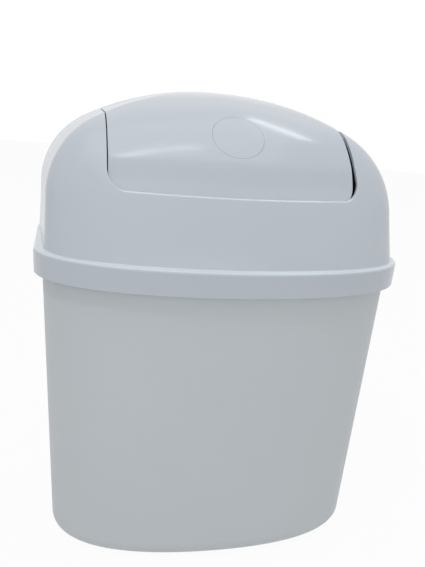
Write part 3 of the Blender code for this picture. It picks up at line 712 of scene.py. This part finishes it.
def make_shelf(bench, root):
    """Shelf under the flap's rear edge, on a web behind the hood's opening."""
    front = FLAP_REAR + SHELF_LAP
    low, high = OPENING_BOTTOM, DOME_TOP + OVERRUN
    wide = SHELF_HALF_WIDTH + OVERRUN
    shelf = bench.block("stop_shelf", (-SHELF_HALF_WIDTH, -front, low),
                        (SHELF_HALF_WIDTH, SHELF_WEB - OPENING_REAR, high))
    under = bench.loft("shelf_under", dome_sections(SHELF_BOTTOM_INSET, detail=PlainDetail, steps=30))
    over = bench.loft("shelf_over", dome_sections(SHELF_TOP_INSET, detail=PlainDetail, steps=30))
    room = bench.block("shelf_room", (-wide, -front - OVERRUN, low),
                       (wide, SEAT_GAP - OPENING_REAR, high))
    bench.work(shelf, root, "INTERSECT")
    bench.work(shelf, under)
    bench.work(room, over)
    return bench.work(shelf, room)


def make_flap(bench, face_body, face):
    """The flap: a shell with a turned-in rim, pivot ears, bar hangers and the disc's pocket."""
    path = edge_path(face, FLAP_MIDDLE, FLAP_HALF_WIDTH, FLAP_BOTTOM, OPENING_CORNER_RADIUS, FLAP_REAR)
    flap = rounded_plug(bench, "flap_moulding", path, FLAP_EDGE_ROUND, -1)
    faces = [face, Face(flap)]
    bench.work(flap, face_body, "INTERSECT")
    rim_core = bench.loft("flap_rim_core", dome_sections(FLAP_RIM_DEPTH, True, detail=PlainDetail))
    bench.work(flap, rim_core)
    inner_path = edge_path(face, FLAP_MIDDLE, FLAP_HALF_WIDTH - FLAP_WALL, FLAP_BOTTOM + FLAP_WALL,
                           OPENING_CORNER_RADIUS - FLAP_WALL, FLAP_REAR - HOLLOW_RUN)
    rings = [[point.spot - point.wall * depth for point in inner_path] for depth in (DEEP, -FLAP_WALL)]
    hollow = bench.loft("flap_hollow", rings, low_point=PLUG_INNER_POINT, high_point=PLUG_OUTER_POINT)
    hollow_core = bench.loft("flap_hollow_core", dome_sections(FLAP_WALL, True, detail=PlainDetail))
    faces += [Face(rim_core), Face(hollow_core), Face(hollow)]
    bench.work(hollow, hollow_core, "INTERSECT")
    bench.work(flap, hollow)
    root = bench.loft("flap_root", dome_sections(ROOT_DEPTH, True, detail=PlainDetail, steps=30))
    lugs = []
    for side in (-1, 1):
        for name, distance, height, radius, middle, thickness, hole in (
                ("ear", PIVOT_DISTANCE, PIVOT_HEIGHT, EAR_RADIUS, side * EAR_MIDDLE, EAR_THICKNESS,
                 PIN_RADIUS + PIN_GAP),
                ("bar_hanger", BAR_DISTANCE, BAR_HEIGHT, BAR_HANGER_RADIUS, side * BAR_HANGER_OFFSET,
                 BAR_HANGER_THICKNESS, BAR_RADIUS + PIN_GAP)):
            lug = hanging_lug(bench, name, distance, height, radius, middle, thickness)
            bore = cross_rod(bench, name + "_hole", distance, height, hole, middle, 2 * thickness)
            bench.work(lug, root, "INTERSECT")
            bench.work(lug, bore)
            lugs.append(lug)
    bench.work(flap, bench.gather("flap_lugs", lugs), "UNION")
    pocket = make_disc_body(bench, "disc_pocket", face, DISC_RADIUS + DISC_GAP, DISC_THICKNESS + DISC_GAP,
                            DISC_EDGE_ROUND, 1)
    faces.append(Face(pocket))
    bench.work(flap, pocket)
    return flap, faces


def disc_axis():
    """Middle of the disc on the flap's face, and the way it faces."""
    reach = FLAP_WALL
    slope = (nose_depth(DISC_HEIGHT - reach) - nose_depth(DISC_HEIGHT + reach)) / (2 * reach)
    out = Vector((0, -1, slope)).normalized()
    return Vector((0, -nose_depth(DISC_HEIGHT), DISC_HEIGHT)), out


def make_disc_body(bench, name, face, radius, thickness, roundness, side, rings_across=14, steps=108):
    """A round body that follows the flap's face: the disc (side -1), or its pocket's cutter (side 1)."""
    middle, out = disc_axis()
    across, up = Vector((1, 0, 0)), out.cross(Vector((1, 0, 0)))

    def ring(distance):
        points = []
        for step in range(steps):
            angle = 2 * math.pi * step / steps
            way = across * math.cos(angle) + up * math.sin(angle)
            spot, normal = face.hit(middle + way * distance - out * DEEP, out)
            points.append((spot, normal, way))
        return points

    rim = ring(radius)
    bottom_steps = [share / rings_across for share in range(1, rings_across)]
    rings = []
    for share in bottom_steps:
        rings.append([spot - normal * thickness for spot, normal, way in ring(radius * share)])
    rings.append([spot - out * thickness for spot, normal, way in rim])
    for step in range(5):
        far = (LIP_TURN if side > 0 else 1) * step / 4
        rings.append([spot - out * (roundness * (1 - far) ** 2) + way * (side * roundness * far ** 2)
                      for spot, normal, way in rim])
    if side > 0:
        rings.append([spot + out * (0.2 * roundness) + way * (3 * roundness) for spot, normal, way in rim])
        rings.append([spot + out * OVERRUN for spot in rings[-1]])
        low_spot, low_normal = face.hit(middle - out * DEEP, out)
        return bench.loft(name, rings, low_point=low_spot - low_normal * thickness)
    for share in reversed(bottom_steps):
        rings.append([spot for spot, normal, way in ring((radius - roundness) * share)])
    spot, normal = face.hit(middle - out * DEEP, out)
    return bench.loft(name, rings, low_point=spot - normal * thickness, high_point=spot)


def bucket_section(height, outset):
    """A level section of the bucket, whose plan opens towards its rim."""
    share = height / BUCKET_RIM_START
    return section(mix(BUCKET_FOOT_HALF_WIDTH, BUCKET_TOP_HALF_WIDTH, share) + outset,
                   mix(BUCKET_FOOT_DEPTH, BUCKET_TOP_DEPTH, share) + outset, BUCKET_BACK - outset,
                   mix_plans(BUCKET_PLAN, RIM_PLAN, min(share, 1)), height)


def bucket_wall(inset, lift):
    """Sections up one side of the bucket's wall, from its foot to its rim."""
    radius = BUCKET_EDGE_RADIUS - inset
    rings = []
    for share in (0.25, 0.5, 0.75, 0.9):
        rings.append([Vector((point.x * share, mix(-BUCKET_FOOT_DEPTH / 2, point.y, share), point.z))
                      for point in bucket_section(lift, -inset - radius)])
    for step in range(11):
        angle = math.pi / 2 * step / 10
        rings.append(bucket_section(lift + radius * (1 - math.cos(angle)),
                                    -inset - radius * (1 - math.sin(angle))))
    for share in (0.25, 0.5, 0.75):
        rings.append(bucket_section(mix(lift + radius, BUCKET_RIM_START, share), -inset))
    slope_in = bucket_section(BUCKET_RIM_START, -inset)
    slope_out = bucket_section(BUCKET_RIM_START + BUCKET_RIM_SLOPE, BUCKET_RIM_OUTSET - inset)
    rings += turn_corner(bucket_section(BUCKET_RIM_START - RIM_BLEND, -inset), slope_in,
                         between(slope_in, slope_out, 0.4), 4)
    top = bucket_section(BUCKET_TOP, BUCKET_RIM_OUTSET - inset)
    rings += turn_corner(between(slope_in, slope_out, 0.6), slope_out, between(slope_out, top, 0.4), 4)
    return rings, top


def make_bucket(bench):
    """The bucket with the hanger pocket on its back."""
    outer, top_out = bucket_wall(0.0, 0.0)
    inner, top_in = bucket_wall(BUCKET_WALL, BUCKET_WALL)
    drop = RIM_EDGE_ROUND / (BUCKET_RIM_HEIGHT * 0.6)
    share = RIM_EDGE_ROUND / BUCKET_WALL
    edge = (turn_corner(between(top_out, outer[-1], drop), top_out, between(top_out, top_in, share), 4)
            + turn_corner(between(top_in, top_out, share), top_in, between(top_in, inner[-1], drop), 4))
    bucket = bench.loft("bucket_moulding", outer + edge + list(reversed(inner)))
    faces = [Face(bucket)]
    bench.work(bucket, make_hanger(bench), "UNION")
    return bucket, faces


def make_hanger(bench):
    """Downward-open pocket on the bucket's back, which slides over the wall plate's tongue."""
    outer = TONGUE_HALF_WIDTH + SEAT_GAP + HANGER_WEB
    room = PLATE_TOP + SEAT_GAP
    low = PLATE_BOTTOM + HANGER_SHORT
    lip = NECK_THICKNESS - SEAT_GAP
    hanger = bench.block("hanger", (-outer, -BUCKET_BACK - ROOT_DEPTH, low),
                         (outer, -HOOD_WALL_GAP, room + HANGER_STOP), HANGER_EDGE_ROUND)
    tongue_room = bench.block("tongue_room", (-TONGUE_HALF_WIDTH - SEAT_GAP, -BUCKET_BACK, low - OVERRUN),
                              (TONGUE_HALF_WIDTH + SEAT_GAP, -lip, room))
    neck_room = bench.block("neck_room", (-NECK_HALF_WIDTH - SEAT_GAP, -lip - SEAT_GAP, low - OVERRUN),
                            (NECK_HALF_WIDTH + SEAT_GAP, OVERRUN, room))
    bench.work(hanger, tongue_room)
    return bench.work(hanger, neck_room)


def finish_piece(item, name, faces, body, material, node):
    """Lower a finished body to the part's frame and hand it over as a piece."""
    settle_normals(item, faces)
    piece = bpy.data.objects.new(name, item.data)
    bpy.context.scene.collection.objects.link(piece)
    piece.data.transform(Matrix.Translation((0, 0, -PLATE_CENTRE)))
    piece.data.materials.clear()
    piece.data.materials.append(material)
    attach(piece, body)
    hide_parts(node)
    return piece


class Flow:
    """A value in a material. Sums and products of values add the nodes that work them out."""

    def __init__(self, finish, socket):
        self.finish = finish
        self.socket = socket

    def maths(self, how, first, second):
        """Add the node for one sum or product."""
        return self.finish.node("ShaderNodeMath", {"operation": how}, {0: first, 1: second})

    def __add__(self, other):
        return self.maths("ADD", self, other)

    def __mul__(self, other):
        return self.maths("MULTIPLY", self, other)


class Finish:
    """One material, built node by node round its shader."""

    def __init__(self, name, roughness=0.5, metallic=0.0, specular=0.5):
        self.material = bpy.data.materials.new(name)
        self.material.use_nodes = True
        self.tree = self.material.node_tree
        self.shader = self.tree.nodes["Principled BSDF"]
        self.shader.inputs["Roughness"].default_value = roughness
        self.shader.inputs["Metallic"].default_value = metallic
        self.shader.inputs["Specular IOR Level"].default_value = specular

    def node(self, kind, settings=None, sockets=None, out=0):
        """Add a node: its settings first, then the values or links of its sockets."""
        made = self.tree.nodes.new(kind)
        for name, value in (settings or {}).items():
            setattr(made, name, value)
        for name, value in (sockets or {}).items():
            if isinstance(value, Flow):
                self.tree.links.new(value.socket, made.inputs[name])
            else:
                made.inputs[name].default_value = value
        return Flow(self, made.outputs[out])

    def mix_in(self, other):
        """Put another shader beside the main one; returns the node that mixes them."""
        mixer = self.tree.nodes.new("ShaderNodeMixShader")
        self.tree.links.new(self.shader.outputs[0], mixer.inputs[1])
        self.tree.links.new(other.outputs[0], mixer.inputs[2])
        self.tree.links.new(mixer.outputs[0], self.tree.nodes["Material Output"].inputs["Surface"])
        return mixer

    def feed(self, socket, value):
        """Lead a value to a socket of the shader."""
        self.tree.links.new(value.socket, self.shader.inputs[socket])

    def place(self):
        """Where a point lies on its piece."""
        return self.node("ShaderNodeTexCoord", out="Object")

    def noise(self, scale, detail=3.0, stretch=(1, 1, 1)):
        """An even random pattern over the piece."""
        spread = self.node("ShaderNodeMapping", {}, {"Vector": self.place(), "Scale": stretch})
        return self.node("ShaderNodeTexNoise", {}, {"Vector": spread, "Scale": scale, "Detail": detail})

    def tint(self, share, low, high):
        """A colour between two others, each one fixed or worked out."""
        low, high = [shade if isinstance(shade, Flow) else (*shade, 1) for shade in (low, high)]
        return self.node("ShaderNodeMix", {"data_type": "RGBA"}, {0: share, 6: low, 7: high}, out=2)

    def grain(self, height, depth):
        """Fine relief of the surface, of a depth in metres."""
        self.feed("Normal", self.node("ShaderNodeBump", {}, {"Distance": depth, "Height": height}))


def moulded_plastic(name, low, high, roughness, spread, grain_size, grain_depth, painted_ledge_light=False):
    """Satin moulded plastic: a slow drift of shade, a fine even grain, and an uneven gloss; where asked, a
    painted highlight on the up-facing low faces.
    """
    finish = Finish(name, roughness)
    drift = finish.noise(DRIFT_SCALE, 2.0)
    speck = finish.noise(SPECK_SCALE, 2.0)
    colour = finish.tint(drift * 0.8 + speck * 0.2, low, high)
    # Painted highlight: a paler colour on the up-facing ledge and lower lip, as light from above would give
    # them
    if painted_ledge_light:
        colour = finish.tint(painted_ledge_highlight(finish) * (speck * 0.4 + 0.8), colour, PAINTED_HIGHLIGHT_COLOUR)
    finish.feed("Base Color", colour)
    finish.feed("Roughness", finish.noise(GLOSS_SCALE) * spread + (roughness - spread / 2))
    finish.grain(finish.noise(grain_size, 2.0), grain_depth)
    return finish.material


def painted_ledge_highlight(finish):
    """A painted highlight: 1 on the up-facing ledge and the opening's lower lip, where light from above
    falls, and 0 elsewhere.
    """
    facing = finish.node("ShaderNodeTexCoord", out="Normal")
    upward = finish.node("ShaderNodeSeparateXYZ", {}, {"Vector": facing}, out=2)
    height = finish.node("ShaderNodeSeparateXYZ", {}, {"Vector": finish.place()}, out=2)
    lies = finish.node("ShaderNodeMapRange", {}, {
        "Value": upward, "From Min": PAINTED_HIGHLIGHT_SLOPES[0], "From Max": PAINTED_HIGHLIGHT_SLOPES[1]})
    low = finish.node("ShaderNodeMapRange", {}, {
        "Value": height, "From Min": PAINTED_HIGHLIGHT_TOP, "From Max": PAINTED_HIGHLIGHT_TOP - PAINTED_HIGHLIGHT_FADE})
    return lies * low


def drawn_metal(name, low, high, roughness, stretch):
    """Metal with fine marks along one way."""
    finish = Finish(name, roughness, 1.0)
    marks = finish.noise(MARK_SCALE, 4.0, stretch)
    finish.feed("Base Color", finish.tint(marks, low, high))
    finish.feed("Roughness", marks * 0.2 + (roughness - 0.1))
    finish.grain(marks, 0.00002)
    return finish.material


def soft_rubber():
    """Matt black rubber with a little dust in its grain."""
    finish = Finish("soft_rubber_finish", 0.8)
    dust = finish.noise(120.0, 5.0)
    finish.feed("Base Color", finish.tint(dust, *RUBBER_COLOURS))
    finish.feed("Roughness", dust * 0.15 + 0.72)
    finish.grain(finish.noise(1500.0), 0.00004)
    return finish.material


def seen_past(tree):
    """1 for what the camera, a gloss or a clear piece sees, and 0 for light on the object."""
    path = tree.nodes.new("ShaderNodeLightPath")
    seen = path.outputs["Is Camera Ray"]
    for ray in ("Is Glossy Ray", "Is Transmission Ray"):
        total = tree.nodes.new("ShaderNodeMath")
        tree.links.new(seen, total.inputs[0])
        tree.links.new(path.outputs[ray], total.inputs[1])
        seen = total.outputs[0]
    return seen


def studio_paper():
    """The floor's white paper: the camera and glosses see it near white, with the bin's shadow on it."""
    finish = Finish("studio_paper", 0.9, 0.0, 0.0)
    fleck = finish.noise(30.0, 2.0)
    finish.feed("Base Color", finish.tint(fleck, (FLOOR_SHADE,) * 3, (FLOOR_SHADE + 0.02,) * 3))
    glow = finish.tree.nodes.new("ShaderNodeEmission")
    seen = Flow(finish, seen_past(finish.tree)) * FLOOR_GLOW
    finish.tree.links.new(seen.socket, finish.mix_in(glow).inputs[0])
    return finish.material


def make_floor():
    """A round white floor under the bucket."""
    mesh = bmesh.new()
    bmesh.ops.create_circle(mesh, cap_ends=True, radius=FLOOR_RADIUS, segments=96)
    data = bpy.data.meshes.new("floor")
    mesh.to_mesh(data)
    mesh.free()
    floor = bpy.data.objects.new("floor", data)
    bpy.context.scene.collection.objects.link(floor)
    floor.location = (0, 0, -PLATE_CENTRE - FLOOR_DROP)
    data.materials.append(studio_paper())


def make_world():
    """Soft light from all round; the camera and glosses see white."""
    world = bpy.data.worlds.new("studio")
    bpy.context.scene.world = world
    world.use_nodes = True
    tree = world.node_tree
    light = tree.nodes["Background"]
    light.inputs["Color"].default_value = (*WORLD_COLOUR, 1)
    light.inputs["Strength"].default_value = WORLD_STRENGTH
    white = tree.nodes.new("ShaderNodeBackground")
    white.inputs["Color"].default_value = (1, 1, 1, 1)
    choose = tree.nodes.new("ShaderNodeMixShader")
    tree.links.new(seen_past(tree), choose.inputs[0])
    tree.links.new(light.outputs[0], choose.inputs[1])
    tree.links.new(white.outputs[0], choose.inputs[2])
    tree.links.new(choose.outputs[0], tree.nodes["World Output"].inputs["Surface"])


def soft_box(name, start, end, height, watts):
    """A flat lamp whose middle line runs between two points, turned to the bin."""
    start, end = Vector(start), Vector(end)
    lamp = bpy.data.lights.new(name, "AREA")
    lamp.shape = "RECTANGLE"
    lamp.size, lamp.size_y, lamp.energy = (end - start).length, height, watts
    lamp.color = LAMP_COLOUR
    item = bpy.data.objects.new(name, lamp)
    bpy.context.scene.collection.objects.link(item)
    middle = (start + end) / 2
    across = (end - start).normalized()
    back = middle - Vector(LIT_POINT)
    back = (back - across * back.dot(across)).normalized()
    turn = Matrix((across, back.cross(across), back)).transposed().to_4x4()
    item.matrix_world = Matrix.Translation(middle) @ turn
    item.visible_glossy = name not in UNSEEN_IN_GLOSS


def make_camera():
    """The photograph's camera, turned by its yaw, pitch and roll."""
    ahead = Vector((math.sin(CAMERA_YAW) * math.cos(CAMERA_PITCH),
                    math.cos(CAMERA_YAW) * math.cos(CAMERA_PITCH), -math.sin(CAMERA_PITCH)))
    level = Vector((math.cos(CAMERA_YAW), -math.sin(CAMERA_YAW), 0))
    over = level.cross(ahead)
    right = level * math.cos(CAMERA_ROLL) + over * math.sin(CAMERA_ROLL)
    up = over * math.cos(CAMERA_ROLL) - level * math.sin(CAMERA_ROLL)
    lens = bpy.data.cameras.new("photo_camera")
    lens.sensor_width = SENSOR_SIZE
    lens.lens = FOCAL_PIXELS * SENSOR_SIZE / PHOTO_HEIGHT
    lens.clip_start = NEAR_CLIP
    camera = bpy.data.objects.new("photo_camera", lens)
    bpy.context.scene.collection.objects.link(camera)
    turn = Matrix((right, up, -ahead)).transposed().to_4x4()
    camera.matrix_world = Matrix.Translation(CAMERA_PLACE) @ turn
    bpy.context.scene.camera = camera


def make_mouldings():
    """The four pieces with finer surfaces than the part's own: hood, flap, disc and bucket."""
    bench = Bench()
    # The hood takes the painted highlight on its up-facing ledge and lower lip
    hood_plastic = moulded_plastic(*HOOD_PLASTIC, painted_ledge_light=True)
    bucket_plastic = moulded_plastic(*BUCKET_PLASTIC)
    face_body = bench.loft("flap_face", dome_sections(0.0, True))
    face = Face(face_body)
    hood, hood_faces = make_hood(bench)
    finish_piece(hood, "hood_shell", hood_faces, "hood", hood_plastic, "hood")
    flap, flap_faces = make_flap(bench, face_body, face)
    finish_piece(flap, "swing_flap", flap_faces, "flap", hood_plastic, "flap")
    disc = make_disc_body(bench, "flap_inlay", face, DISC_RADIUS, DISC_THICKNESS, DISC_EDGE_ROUND, -1)
    finish_piece(disc, "flap_inlay", [Face(disc)], "flap", hood_plastic, "flap_disc")
    bucket, bucket_faces = make_bucket(bench)
    finish_piece(bucket, "bucket_shell", bucket_faces, "bucket", bucket_plastic, "bucket")
    bench.clear()


def finish_kept_pieces():
    """Finishes for the part's own pieces that stay as they are."""
    for names, material in ((ZINC_PIECES, drawn_metal(*ZINC)),
                            (STEEL_PIECES, drawn_metal(*BRIGHT_STEEL)),
                            (BUSH_PIECES, moulded_plastic(*BUSH_PLASTIC)),
                            (RUBBER_PIECES, soft_rubber())):
        for name in names:
            data = frame["nodes"][name].data
            data.materials.clear()
            data.materials.append(material)


def main():
    make_camera()
    make_mouldings()
    finish_kept_pieces()
    make_floor()
    make_world()
    for name, start, end, height, watts in LAMPS:
        soft_box(name, start, end, height, watts)
    bpy.context.scene.view_settings.view_transform = "Standard"


main()
